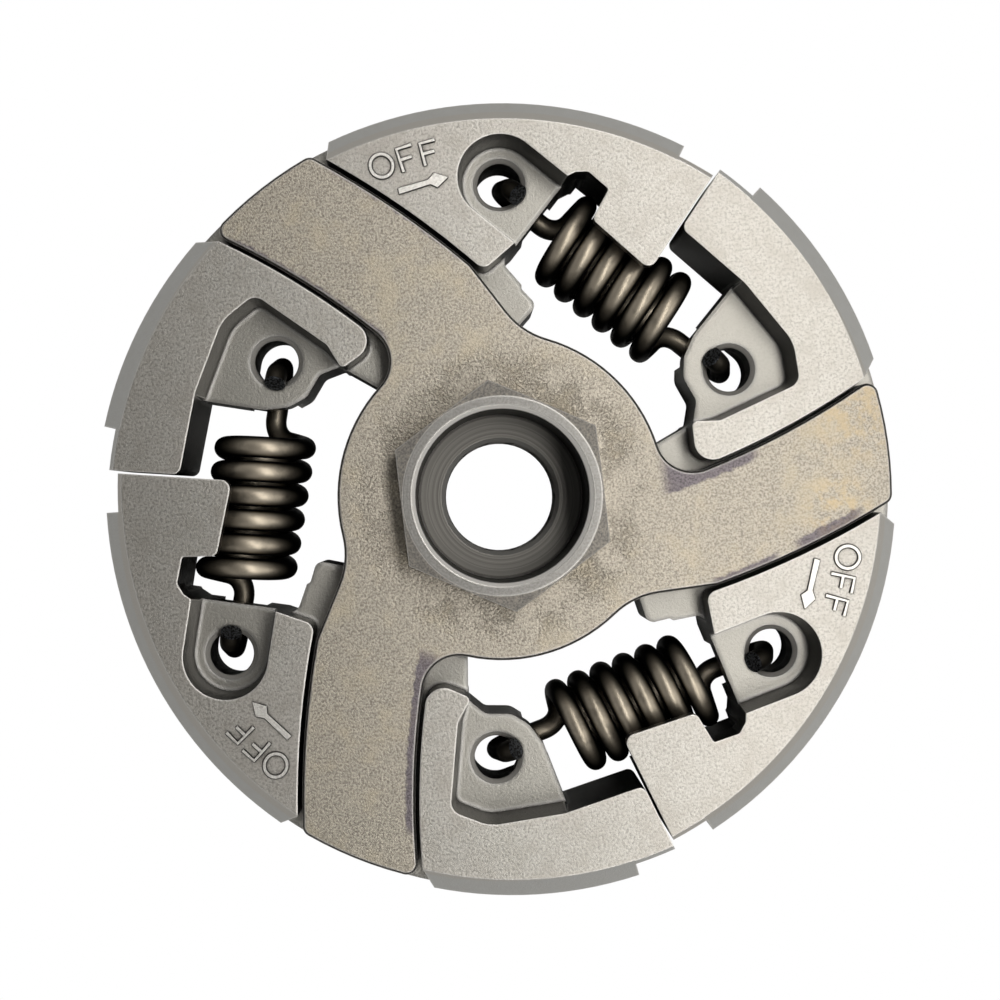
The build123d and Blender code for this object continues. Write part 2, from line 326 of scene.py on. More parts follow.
@dataclass(frozen=True)
class SinteredSteel(Finish):
    """Pressed and sintered steel: speckled faces, walls darkened partly by oxidation and partly by painted
    shade, a ground friction rim.
    """

    face: Colour = (0.57, 0.545, 0.50)
    pore: Colour = (0.37, 0.35, 0.315)
    stain: Colour = (0.44, 0.41, 0.365)
    oxide_and_shade: Colour = (0.034, 0.033, 0.030)
    gap_shade: Colour = (0.010, 0.009, 0.008)
    ground: Colour = (0.60, 0.60, 0.58)
    painted_highlight: Colour = (0.92, 0.90, 0.86)
    ledge: Colour = (0.41, 0.395, 0.355)
    chamfer_shade: Colour = (0.26, 0.255, 0.245)
    rim_radius: Fade = (36.9 * MM, 37.1 * MM)
    edge_width: float = 0.26 * MM
    low_edge_width: float = 0.75 * MM
    gap_shade_reach: float = 0.55 * MM
    fine: Noise = Noise(3800.0, 4.0, 0.7)
    coarse: Noise = Noise(420.0, 3.0, 0.55)
    clouds: Noise = Noise(1100.0, 2.0, 0.6)
    turning: Noise = Noise(900.0, 3.0, 0.6)
    grain_depth: float = 0.027 * MM

    def dress(self, graph: Graph, shader: bpy.types.Node) -> None:
        """Feeds the shader with speckle, darkened walls, ground rim, painted edge highlights and painted
        shade in narrow gaps.
        """
        surface = Surface(
            graph,
            edge_width=self.edge_width,
            low_edge_width=self.low_edge_width,
            gap_shade_reach=self.gap_shade_reach,
        )
        fine, coarse, clouds, turned = (
            graph.noise(surface.place, kind) for kind in (self.fine, self.coarse, self.clouds, self.turning)
        )
        colour = graph.mix(graph.step(fine, 0.36, 0.56), self.pore, self.face)
        colour = graph.mix(graph.product(graph.step(clouds, 0.40, 0.66), 0.35), colour, self.stain)
        colour = graph.mix(graph.product(graph.step(coarse, 0.5, 0.72), 0.55), colour, self.stain)
        colour = graph.mix(graph.product(surface.low, 0.8), colour, self.ledge)
        rim = graph.step(surface.radius, *self.rim_radius)
        ground = graph.mix(graph.product(turned, 0.35), self.ground, self.stain)
        # Walls take a near-black colour, partly oxidation and partly painted shade; chamfers that look up
        # keep the face's colour, and the friction rim is ground.
        wall = graph.mix(surface.slope, self.oxide_and_shade, self.face)
        wall = graph.mix(rim, wall, ground)
        colour = graph.mix(surface.flat, wall, colour)
        # Painted highlight along every edge.
        colour = graph.mix(graph.product(surface.edge, 0.8), colour, self.painted_highlight)
        # Painted shade on the outer half of the ledges' edges, standing in for a bevel.
        colour = graph.mix(graph.product(surface.bevelled, 0.85), colour, self.chamfer_shade)
        # Painted shade in narrow gaps and beside facing walls.
        colour = graph.mix(surface.gap_light, self.gap_shade, colour)
        graph.feed(shader.inputs["Base Color"], colour)
        rough = graph.math("ADD", graph.scaled(fine, 0.29, 0.42), graph.product(surface.slope, 0.25))
        graph.feed(shader.inputs["Roughness"], rough)
        graph.feed(shader.inputs["Metallic"], graph.scaled(surface.slope, 0.92, 0.45))
        self.bump(graph, shader, fine, self.grain_depth, surface.rounded)


@dataclass(frozen=True)
class Spot:
    """A stained place on a face."""

    centre: Place
    reach: float
    colour: Colour
    strength: float


@dataclass(frozen=True)
class HeatBand:
    """A ragged blue-grey band along one side of an arm."""

    arm: int
    trailing: bool
    start: float
    end: float
    width: float


@dataclass(frozen=True)
class CastSteel(Finish):
    """Cast and blasted steel in tan, with machined faces round the bore and heat tints beside the shoes."""

    face: Colour = (0.56, 0.51, 0.425)
    dark: Colour = (0.28, 0.25, 0.21)
    yellow: Colour = (0.56, 0.485, 0.355)
    wall: Colour = (0.030, 0.026, 0.022)
    gap_shade: Colour = (0.010, 0.009, 0.008)
    heat: Colour = (0.42, 0.41, 0.52)
    machined: Colour = (0.36, 0.35, 0.33)
    machined_dark: Colour = (0.25, 0.24, 0.225)
    bore: Colour = (0.27, 0.26, 0.235)
    bore_dark: Colour = (0.17, 0.16, 0.145)
    hexagon_side: Colour = (0.55, 0.50, 0.43)
    painted_highlight: Colour = (0.88, 0.85, 0.80)
    fine: Noise = Noise(4600.0, 4.0, 0.72)
    coarse: Noise = Noise(300.0, 3.0, 0.6)
    clouds: Noise = Noise(1000.0, 3.0, 0.7)
    pebble: Noise = Noise(3300.0, 2.0, 0.65)
    stained: Noise = Noise(620.0, 4.0, 0.65)
    ring_scale: float = 4200.0
    relief_depth: float = 0.075 * MM
    hexagon_height: Fade = (14.7 * MM, 14.9 * MM)
    ring_height: Fade = (20.0 * MM, 20.04 * MM)
    ring_radius: Fade = (9.40 * MM, 9.36 * MM)
    counterbore_radius: Fade = (8.21 * MM, 8.18 * MM)
    pebble_height: Fade = (15.0 * MM, 14.8 * MM)
    pebble_radius: Fade = (15.5 * MM, 12.0 * MM)
    guide_centre: Flat = (0.5 * MM, 73.5 * MM)
    leading_radius: float = 75.75 * MM
    trailing_radius: float = 86.65 * MM
    fray_depth: float = 0.5 * MM
    band_spill: float = 0.1 * MM
    band_fade: float = 0.35 * MM
    band_run_in: float = 1.5 * MM
    bands: tuple[HeatBand, ...] = (
        HeatBand(0, False, 15.0 * MM, 25.5 * MM, 1.15 * MM),
        HeatBand(0, True, 18.5 * MM, 26.3 * MM, 0.75 * MM),
        HeatBand(0, True, 26.9 * MM, 34.8 * MM, 1.20 * MM),
        HeatBand(1, False, 18.0 * MM, 36.0 * MM, 0.55 * MM),
        HeatBand(1, True, 20.0 * MM, 36.0 * MM, 0.45 * MM),
        HeatBand(2, False, 16.0 * MM, 34.0 * MM, 1.00 * MM),
    )
    spots: tuple[Spot, ...] = (
        Spot((35.0 * MM, 4.0 * MM, 14.6 * MM), 7.0 * MM, (0.55, 0.44, 0.28), 0.75),
        Spot((32.0 * MM, -5.0 * MM, 14.6 * MM), 4.5 * MM, (0.60, 0.47, 0.28), 0.70),
    )

    def heated(self, graph: Graph, surface: Surface, ragged: Socket) -> Socket:
        """Mask of the heat bands.

        Args:
            graph: the material's graph.
            surface: the shared sockets.
            ragged: a noise that frays the bands.

        Returns:
            The mask, from 0 to 1.
        """
        fray = graph.scaled(ragged, -self.fray_depth, self.fray_depth)
        mask: Any = 0.0
        for band in self.bands:
            turn = Matrix.Rotation(ARM_STEP * band.arm, 3, "Z")
            away = graph.distance(surface.plan, turn @ Vector((*self.guide_centre, 0)))
            along = graph.dot(surface.plan, turn @ Vector((1, 0, 0)))
            if band.trailing:
                inset = graph.math("SUBTRACT", self.trailing_radius, away)
            else:
                inset = graph.math("SUBTRACT", away, self.leading_radius)
            outer = band.width + self.band_spill
            near = graph.step(graph.math("ADD", inset, fray), outer, outer - self.band_fade)
            begun = graph.step(along, band.start, band.start + self.band_run_in)
            ended = graph.step(along, band.end, band.end - self.band_run_in)
            mask = graph.math("MAXIMUM", mask, graph.product(near, begun, ended))
        return mask

    def plate(self, graph: Graph, surface: Surface, fine: Socket, coarse: Socket, clouds: Socket) -> Socket:
        """Colour of the cast face, with its stains.

        Args:
            graph: the material's graph.
            surface: the shared sockets.
            fine: a noise for the grain.
            coarse: a noise for yellow patches.
            clouds: a noise for dark patches.

        Returns:
            The colour.
        """
        colour = graph.mix(graph.step(fine, 0.36, 0.60), self.dark, self.face)
        colour = graph.mix(graph.product(graph.step(clouds, 0.42, 0.66), 0.14), colour, self.dark)
        colour = graph.mix(graph.product(graph.step(coarse, 0.48, 0.75), 0.5), colour, self.yellow)
        ragged = graph.step(graph.noise(surface.place, self.stained), 0.40, 0.62)
        for spot in self.spots:
            near = graph.step(graph.distance(surface.place, spot.centre), spot.reach, spot.reach * 0.25)
            colour = graph.mix(graph.product(near, ragged, spot.strength), colour, spot.colour)
        return colour

    def pits(self, graph: Graph, surface: Surface, coarse: Socket) -> Socket:
        """Mask of the pebbling round the hexagon, from 0 to 1."""
        pebble = graph.step(graph.noise(surface.place, self.pebble), 0.60, 0.38)
        near = graph.step(surface.radius, *self.pebble_radius)
        on_plate = graph.step(surface.height, *self.pebble_height)
        return graph.product(pebble, near, on_plate, graph.step(coarse, 0.36, 0.58))

    def dress(self, graph: Graph, shader: bpy.types.Node) -> None:
        """Feeds the shader with grain, pebbling, tints, turned faces, painted shade on walls and in narrow
        gaps, and painted edge highlights.
        """
        surface = Surface(graph)
        fine, coarse, clouds = (
            graph.noise(surface.place, kind) for kind in (self.fine, self.coarse, self.clouds)
        )
        rings = graph.rings(surface.radius, self.ring_scale)
        inside = graph.step(surface.radius, *self.counterbore_radius)
        outside = graph.rest(inside)
        pits = graph.product(self.pits(graph, surface, coarse), outside)
        colour = self.plate(graph, surface, fine, coarse, clouds)
        colour = graph.mix(graph.product(pits, 0.06), colour, self.dark)
        colour = graph.mix(self.heated(graph, surface, clouds), colour, self.heat, "MULTIPLY")
        # Walls take a near-black colour: painted shade.
        colour = graph.mix(surface.flat, self.wall, colour)

        above = graph.step(surface.height, *self.hexagon_height)
        side = graph.mix(graph.step(fine, 0.35, 0.65), self.machined_dark, self.hexagon_side)
        colour = graph.mix(above, colour, side)
        high = graph.step(surface.height, *self.ring_height)
        ring = graph.product(high, graph.step(surface.radius, *self.ring_radius), outside)
        turned = graph.mix(graph.step(fine, 0.3, 0.7), self.machined_dark, self.machined)
        # The ring's turned face, with a painted highlight on its chamfers.
        colour = graph.mix(ring, colour, graph.mix(surface.slope, turned, self.painted_highlight))

        lit = graph.math("MAXIMUM", surface.flat, surface.slope)
        bored = graph.mix(graph.step(rings, 0.35, 0.65), self.bore_dark, self.bore)
        # Inside the counterbore, walls take the near-black shade colour and a black specular tint: painted
        # shade.
        bored = graph.mix(surface.slope, graph.mix(lit, self.gap_shade, bored), self.machined)
        shaded = graph.product(inside, graph.rest(lit))
        graph.feed(shader.inputs["Specular Tint"], graph.mix(shaded, (1.0, 1.0, 1.0), (0.0, 0.0, 0.0)))
        colour = graph.mix(inside, colour, bored)
        # Painted highlight along edges outside the counterbore.
        colour = graph.mix(graph.product(surface.edge, graph.scaled(inside, 0.75, 0.0)), colour, self.painted_highlight)
        # Painted shade in narrow gaps and beside facing walls.
        graph.feed(shader.inputs["Base Color"], graph.mix(surface.gap_light, self.gap_shade, colour))

        rough = graph.math("ADD", graph.scaled(fine, 0.28, 0.41), graph.product(surface.slope, 0.25))
        graph.feed(shader.inputs["Roughness"], rough)
        bare = graph.scaled(surface.slope, 0.88, 0.43)
        metallic = graph.math("SUBTRACT", bare, graph.product(inside, 0.25))
        graph.feed(shader.inputs["Metallic"], metallic)
        machined = graph.math("MAXIMUM", inside, ring)
        relief = graph.math("ADD", graph.product(fine, graph.rest(machined), 0.5), graph.product(pits, -0.55))
        relief = graph.math("ADD", relief, graph.product(rings, machined, 0.10))
        self.bump(graph, shader, relief, self.relief_depth, surface.rounded)


@dataclass(frozen=True)
class OiledSpringSteel(Finish):
    """Oil-blackened spring wire with a painted satin brown highlight on its upper side, and bare cut ends."""

    black: Colour = (0.012, 0.011, 0.010)
    painted_sheen: Colour = (0.56, 0.49, 0.385)
    cut: Colour = (0.22, 0.235, 0.26)
    smear: Noise = Noise(520.0, 3.0, 0.6)
    fine: Noise = Noise(5200.0, 3.0, 0.6)
    facing_up: Fade = (0.45, 0.92)
    coil_end: Fade = (0.44, 0.42)
    cut_end: Fade = (0.4985, 0.4995)
    metallic: float = 0.95
    scratch_depth: float = 0.006 * MM

    def dress(self, graph: Graph, shader: bpy.types.Node) -> None:
        """Feeds the shader with the painted highlight, oil patches and cut ends."""
        place = graph.node("ShaderNodeTexCoord").outputs["Object"]
        smear, fine = (graph.noise(place, kind) for kind in (self.smear, self.fine))
        along = graph.node("ShaderNodeAttribute", attribute_name="along").outputs["Fac"]
        middle = graph.math("ABSOLUTE", graph.math("SUBTRACT", along, 0.5))
        normal = graph.node("ShaderNodeNewGeometry").outputs["Normal"]
        upward = graph.step(graph.split(normal)[2], *self.facing_up)
        bare = graph.scaled(graph.step(smear, 0.25, 0.55), 0.6, 1.0)
        coil = graph.scaled(graph.step(middle, *self.coil_end), 0.25, 1.0)
        # Painted highlight: the wire turns from black to the satin colour only where it faces up, less on the
        # hooks and dimmer in oil patches.
        colour = graph.mix(graph.product(bare, upward, coil), self.black, self.painted_sheen)
        ends = graph.step(middle, *self.cut_end)
        scratch = graph.mix(graph.step(fine, 0.4, 0.6), self.black, self.cut)
        graph.feed(shader.inputs["Base Color"], graph.mix(ends, colour, scratch))
        graph.feed(shader.inputs["Roughness"], graph.scaled(smear, 0.36, 0.46))
        graph.feed(shader.inputs["Metallic"], self.metallic)
        self.bump(graph, shader, fine, self.scratch_depth)


def shoe_body(index: int) -> str:
    """Name of a shoe's body and node."""
    return f"shoe_{index % SHOE_COUNT + 1}"


def spring_body(index: int) -> str:
    """Name of a spring's body and node."""
    return f"spring_{index % SHOE_COUNT + 1}"


def add_curve(name: str, splines: Iterable[tuple[Sequence[Vector], bool]]) -> bpy.types.Object:
    """Curve object of straight-run splines.

    Args:
        name: the object's name.
        splines: points and whether the run closes on itself.

    Returns:
        The object, linked to the scene.
    """
    data = bpy.data.curves.new(name, "CURVE")
    data.dimensions = "3D"
    for points, closed in splines:
        spline = data.splines.new("POLY")
        spline.points.add(len(points) - 1)
        for target, point in zip(spline.points, points):
            target.co = (*point, 1.0)
        spline.use_cyclic_u = closed
    made = bpy.data.objects.new(name, data)
    bpy.context.scene.collection.objects.link(made)
    return made


def add_mesh(name: str, mesh: bpy.types.Mesh) -> bpy.types.Object:
    """Links a mesh to the scene as an object at the origin."""
    made = bpy.data.objects.new(name, mesh)
    bpy.context.scene.collection.objects.link(made)
    return made


def smooth_by_angle(piece: bpy.types.Object, angle: float) -> None:
    """Smooth shading with sharp edges above an angle in degrees."""
    piece.data.shade_smooth()
    piece.data.set_sharp_from_angle(angle=radians(angle))


def editable(solid: bpy.types.Object) -> bmesh.types.BMesh:
    """Copy of a CAD node's mesh to edit, with corners that lie together merged and curved faces smooth."""
    shape = bmesh.new()
    shape.from_mesh(solid.data)
    bmesh.ops.remove_doubles(shape, verts=shape.verts, dist=MERGE_DISTANCE)
    shape.normal_update()
    for face in shape.faces:
        face.smooth = abs(face.normal.z) < PARALLEL
    return shape


def stand_for(body: str, shape: bmesh.types.BMesh, finish: bpy.types.Material) -> None:
    """Puts an edited copy in the place of its CAD node.

    Args:
        body: name of the node and of its body.
        shape: the edited copy, which is freed.
        finish: the material.
    """
    name = f"{body}_body"
    mesh = bpy.data.meshes.new(name)
    shape.to_mesh(mesh)
    shape.free()
    mesh.materials.append(finish)
    if "custom_normal" in mesh.attributes:
        mesh.attributes.remove(mesh.attributes["custom_normal"])
    mesh.set_sharp_from_angle(angle=radians(SOLID_SHARP_ANGLE))
    piece = add_mesh(name, mesh)
    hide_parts(body)
    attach(piece, body)
    log.info("%s: %d faces", name, len(mesh.polygons))


def settled(
    source: bpy.types.Object, tree: bpy.types.NodeTree, values: dict[str, Any], name: str
) -> bpy.types.Object:
    """Runs a geometry tree on a curve and keeps the result as a plain mesh.

    Args:
        source: the curve object, which is removed.
        tree: the geometry tree.
        values: the tree's inputs by name.
        name: the new object's name.

    Returns:
        The mesh object, at the origin.
    """
    modifier = source.modifiers.new("build", "NODES")
    modifier.node_group = tree
    for item in tree.interface.items_tree:
        if item.in_out == "INPUT" and item.name in values:
            modifier[item.identifier] = values[item.name]
    graph = bpy.context.evaluated_depsgraph_get()
    mesh = bpy.data.meshes.new_from_object(source.evaluated_get(graph), depsgraph=graph)
    bpy.data.objects.remove(source)
    mesh.name = name
    return add_mesh(name, mesh)


def new_tree(name: str, sizes: Sequence[str]) -> tuple[Graph, bpy.types.Node]:
    """Geometry tree with a geometry input, a material input and named size inputs.

    Args:
        name: the tree's name.
        sizes: names of the inputs for lengths.

    Returns:
        The tree's graph and its input node.
    """
    tree = bpy.data.node_groups.new(name, "GeometryNodeTree")
    tree.interface.new_socket("Geometry", in_out="INPUT", socket_type="NodeSocketGeometry")
    tree.interface.new_socket("Finish", in_out="INPUT", socket_type="NodeSocketMaterial")
    for size in sizes:
        tree.interface.new_socket(size, in_out="INPUT", socket_type="NodeSocketFloat")
    tree.interface.new_socket("Geometry", in_out="OUTPUT", socket_type="NodeSocketGeometry")
    graph = Graph(tree)
    return graph, graph.node("NodeGroupInput")


def sweep(graph: Graph, path: Socket, profile: bpy.types.Node, finish: Socket) -> bpy.types.NodeTree:
    """Ends a geometry tree: a profile swept along a path, with closed ends and a material.

    Args:
        graph: the tree's graph.
        path: the curve to follow.
        profile: the node that draws the profile.
        finish: the material.

    Returns:
        The tree.
    """
    inputs = {"Curve": path, "Profile Curve": profile.outputs[0], "Fill Caps": True}
    swept = graph.node("GeometryNodeCurveToMesh", inputs).outputs[0]
    real = graph.node("GeometryNodeRealizeInstances", {"Geometry": swept}).outputs[0]
    painted = graph.node("GeometryNodeSetMaterial", {"Geometry": real, "Material": finish}).outputs[0]
    graph.node("NodeGroupOutput", {0: painted})
    return graph.tree


@dataclass
class Spring:
    """Tension spring: a right-hand coil between two hooks that come up through the shoes' holes."""

    finish: bpy.types.Material
    trailing_hole: Flat = TRAILING_HOLE
    leading_hole: Flat = LEADING_HOLE
    wire_radius: float = 1.05 * MM
    coil_radius: float = 3.95 * MM
    pitch: float = 2.4 * MM
    turns: float = 6.0
    axis_height: float = 7.5 * MM
    early_turn: float = 30.0
    side_bend: float = 2.2 * MM
    up_bend: float = 1.6 * MM
    lean: float = 9.0
    setback: float = 1.85 * MM
    neck_height: float = 9.35 * MM
    tip_bend: float = 1.4 * MM
    tip_lean: float = 58.0
    tip_length: float = 0.7 * MM
    points_per_turn: int = 44
    bend_steps: int = 12
    sides: int = 28
    crease: float = 40.0

    def ends(self) -> tuple[Vector, Vector]:
        """Centres of the near and far hole of the first spring, at the coil's height."""
        x, y = self.leading_hole
        far = Matrix.Rotation(-ARM_STEP, 3, "Z") @ Vector((x, y, self.axis_height))
        return Vector((*self.trailing_hole, self.axis_height)), far

    def bend(
        self, point: Vector, heading: Vector, onward: Vector, radius: float
    ) -> tuple[list[Vector], Vector]:
        """Points of an arc from one heading to another.

        Args:
            point: where the arc starts.
            heading: direction at the start.
            onward: direction at the end.
            radius: the arc's radius.

        Returns:
            The arc's points after its start, and its end.
        """
        turn = acos(max(-1.0, min(1.0, heading.dot(onward))))
        inward = (onward - heading * heading.dot(onward)).normalized()
        arc = []
        for i in range(1, self.bend_steps + 1):
            angle = turn * i / self.bend_steps
            arc.append(point + heading * (radius * sin(angle)) + inward * (radius * (1 - cos(angle))))
        return arc, arc[-1]

    def hook(self, point: Vector, heading: Vector, outward: float, hole_x: float) -> list[Vector]:
        """Points of a hook from the coil's end to its tip.

        Args:
            point: the coil's end.
            heading: the wire's direction there.
            outward: 1 for the end that lies along +X, -1 for the other.
            hole_x: where the hole lies along the spring.

        Returns:
            The points after the coil's end.
        """
        out = Vector((outward, 0, 0))
        side, end = self.bend(point, heading, out, self.side_bend)
        corner = Vector((hole_x - outward * self.setback, end.y, end.z))
        rising, leaning = (
            Vector((-outward * sin(radians(angle)), 0, cos(radians(angle))))
            for angle in (self.lean, self.tip_lean)
        )
        lift, low = self.bend(corner, out, rising, self.up_bend)
        neck = low + rising * ((self.neck_height - self.axis_height - low.z) / rising.z)
        fold, high = self.bend(neck, rising, leaning, self.tip_bend)
        return [*side, corner, *lift, neck, *fold, high + leaning * self.tip_length]

    def path(self) -> list[Vector]:
        """The wire's centre line in the spring's own frame, from one tip to the other."""
        height = self.pitch * (self.turns - 2 * self.early_turn / 360)
        start = radians(self.early_turn - 90)
        turned = 2 * pi * height / self.pitch
        count = round(self.points_per_turn * height / self.pitch)
        coil = []
        for i in range(count + 1):
            angle = start + turned * i / count
            x = -height / 2 + height * i / count
            coil.append(Vector((x, self.coil_radius * cos(angle), self.coil_radius * sin(angle))))
        rise = self.pitch / (2 * pi)

        def tangent(angle: float) -> Vector:
            """Direction of the coil at an angle."""
            along = Vector((rise, -self.coil_radius * sin(angle), self.coil_radius * cos(angle)))
            return along.normalized()

        near_end, far_end = self.ends()
        half = (near_end - far_end).length / 2
        near = self.hook(coil[0], -tangent(start), -1.0, -half)
        far = self.hook(coil[-1], tangent(start + turned), 1.0, half)
        return [*reversed(near), *coil, *far]

    def tree(self) -> bpy.types.NodeTree:
        """Geometry tree that draws round wire along a curve and marks how far along each point lies."""
        graph, given = new_tree("drawn_wire", ["Wire Radius"])
        stored = graph.node(
            "GeometryNodeStoreNamedAttribute",
            {
                "Geometry": given.outputs["Geometry"],
                "Name": "along",
                "Value": graph.node("GeometryNodeSplineParameter").outputs["Factor"],
            },
            data_type="FLOAT",
            domain="POINT",
        )
        round_wire = {"Resolution": self.sides, "Radius": given.outputs["Wire Radius"]}
        profile = graph.node("GeometryNodeCurvePrimitiveCircle", round_wire)
        return sweep(graph, stored.outputs[0], profile, given.outputs["Finish"])

    def build(self) -> None:
        """Builds the three springs, each stretching between two shoes."""
        near, far = self.ends()
        along, up = (near - far).normalized(), Vector((0, 0, 1))
        frame = Matrix((along, up.cross(along), up)).transposed().to_4x4()
        frame.translation = (near + far) / 2
        path = [Vector((-point.x, -point.y, point.z)) for point in self.path()]
        values = {"Wire Radius": self.wire_radius, "Finish": self.finish}
        tree = self.tree()
        for index in range(SHOE_COUNT):
            place = Matrix.Rotation(ARM_STEP * index, 4, "Z") @ frame
            curve = add_curve("spring_path", [([place @ point for point in path], False)])
            piece = settled(curve, tree, values, f"tension_spring_{index + 1}")
            smooth_by_angle(piece, self.crease)
            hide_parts(spring_body(index))
            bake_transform(piece)
            log.info("%s: %d faces", piece.name, len(piece.data.polygons))


@dataclass
class Spider:
    """The spider with its left-hand thread cut into the bore's wall, which is plain in the CAD.

    The thread's crest and flank are shares of half a turn.
    """

    finish: bpy.types.Material
    minor_radius: float = 5.46 * MM
    wall_top: float = 7.6 * MM
    pitch: float = 1.0 * MM
    depth: float = 0.54 * MM
    run_out: float = 0.6 * MM
    crest: float = 0.12
    flank: float = 0.68
    rows_per_turn: int = 14
    wall_slack: float = 0.03 * MM
    top_slack: float = 0.05 * MM

    def groove(self, angle: float, height: float) -> float:
        """Depth of the thread below the bore's wall.

        Args:
            angle: angle about the bore.
            height: height above the back.

        Returns:
            The depth in metres.
        """
        phase = (height / self.pitch + angle / (2 * pi)) % 1.0
        cut = min(1.0, max(0.0, (1 - abs(2 * phase - 1) - self.crest) / self.flank))
        fade = min(1.0, max(0.0, min(height, self.wall_top - height) / self.run_out))
        return self.depth * cut * fade

    def on_wall(self, point: Vector) -> bool:
        """Whether a point lies on the bore's wall."""
        beside = abs(hypot(point.x, point.y) - self.minor_radius) < self.wall_slack
        return beside and point.z < self.wall_top + self.top_slack

    def build(self, solid: bpy.types.Object) -> None:
        """Builds the dressed spider in place of its CAD node.

        Args:
            solid: the CAD node's object.
        """
        shape = editable(solid)
        wall = [face for face in shape.faces if all(self.on_wall(v.co) for v in face.verts)]
        bmesh.ops.delete(shape, geom=wall, context="FACES")
        rims = [v for v in shape.verts if v.is_boundary and self.on_wall(v.co)]
        rims.sort(key=lambda v: atan2(v.co.y, v.co.x))
        low = [v for v in rims if v.co.z < self.wall_top / 2]
        high = [v for v in rims if v.co.z > self.wall_top / 2]
        log.info("spider_body: bore rims have %d and %d corners", len(low), len(high))
        rows = round(self.wall_top / self.pitch * self.rows_per_turn)
        grid = [low]
        for i in range(1, rows):
            height = self.wall_top * i / rows
            ring = []
            for corner in low:
                angle = atan2(corner.co.y, corner.co.x)
                radius = self.minor_radius + self.groove(angle, height)
                ring.append(shape.verts.new((radius * cos(angle), radius * sin(angle), height)))
            grid.append(ring)
        grid.append(high)
        for below, above in zip(grid, grid[1:]):
            for j in range(len(low)):
                k = (j + 1) % len(low)
                shape.faces.new((below[k], below[j], above[j], above[k]))
        stand_for("spider", shape, self.finish)


@dataclass
class Shoe:
    """A shoe whose pocket walls lean back as pressed, where the CAD's stand upright.

    A wall's normal tilts by less than upright. The longest move is counted in drafts.
    """

    finish: bpy.types.Material
    ledge_height: float = 9.5 * MM
    draft: float = 0.42 * MM
    reach: float = 8.5 * MM
    holes: tuple[Flat, ...] = (TRAILING_HOLE, LEADING_HOLE)
    level: float = 0.01 * MM
    upright: float = 0.1
    longest_move: float = 2.5

    def faces_hole(self, point: Vector, move: Vector) -> bool:
        """Whether a move starts in the pocket round one of the spring holes and heads for that hole."""
        for turn in range(SHOE_COUNT):
            for hole in self.holes:
                inward = Matrix.Rotation(ARM_STEP * turn, 3, "Z") @ Vector((*hole, self.ledge_height)) - point
                if inward.length < self.reach and inward.dot(move) > 0:
                    return True
        return False

    def shift(self, corner: bmesh.types.BMVert) -> Vector:
        """Where a corner moves at a wall's foot, so that each wall that ends there leans by the draft.

        Args:
            corner: the corner.

        Returns:
            The move. Walls that run on below the ledge stay where they are.
        """
        walls = [face for face in corner.link_faces if abs(face.normal.z) < self.upright]
        foot = self.ledge_height - self.level
        whole = [face.normal for face in walls if min(v.co.z for v in face.verts) < foot]
        tiny = 1e-4
        xx, xy, yy, right_x, right_y = tiny, 0.0, tiny, 0.0, 0.0
        for face in walls:
            x, y, _ = face.normal
            lean = 0.0 if any(face.normal.dot(other) > PARALLEL for other in whole) else self.draft
            xx, xy, yy = xx + x * x, xy + x * y, yy + y * y
            right_x, right_y = right_x + x * lean, right_y + y * lean
        move = (Matrix(((xx, xy), (xy, yy))).inverted() @ Vector((right_x, right_y))).to_3d()
        if move.length > self.longest_move * self.draft:
            move.length = self.longest_move * self.draft
        return move

    def build(self, solid: bpy.types.Object, index: int) -> None:
        """Builds the dressed shoe in place of its CAD node.

        Args:
            solid: the CAD node's object.
            index: which shoe it is.
        """
        shape = editable(solid)
        moves = {}
        for corner in shape.verts:
            at_ledge = abs(corner.co.z - self.ledge_height) < self.level
            if at_ledge and any(face.normal.z > PARALLEL for face in corner.link_faces):
                move = self.shift(corner)
                if self.faces_hole(corner.co, move):
                    moves[corner] = move
        for corner, move in moves.items():
            corner.co += move
        longest = max(move.length for move in moves.values())
        log.info("%s: %d corners moved, at most %.2f mm", shoe_body(index), len(moves), longest / MM)
        stand_for(shoe_body(index), shape, self.finish)


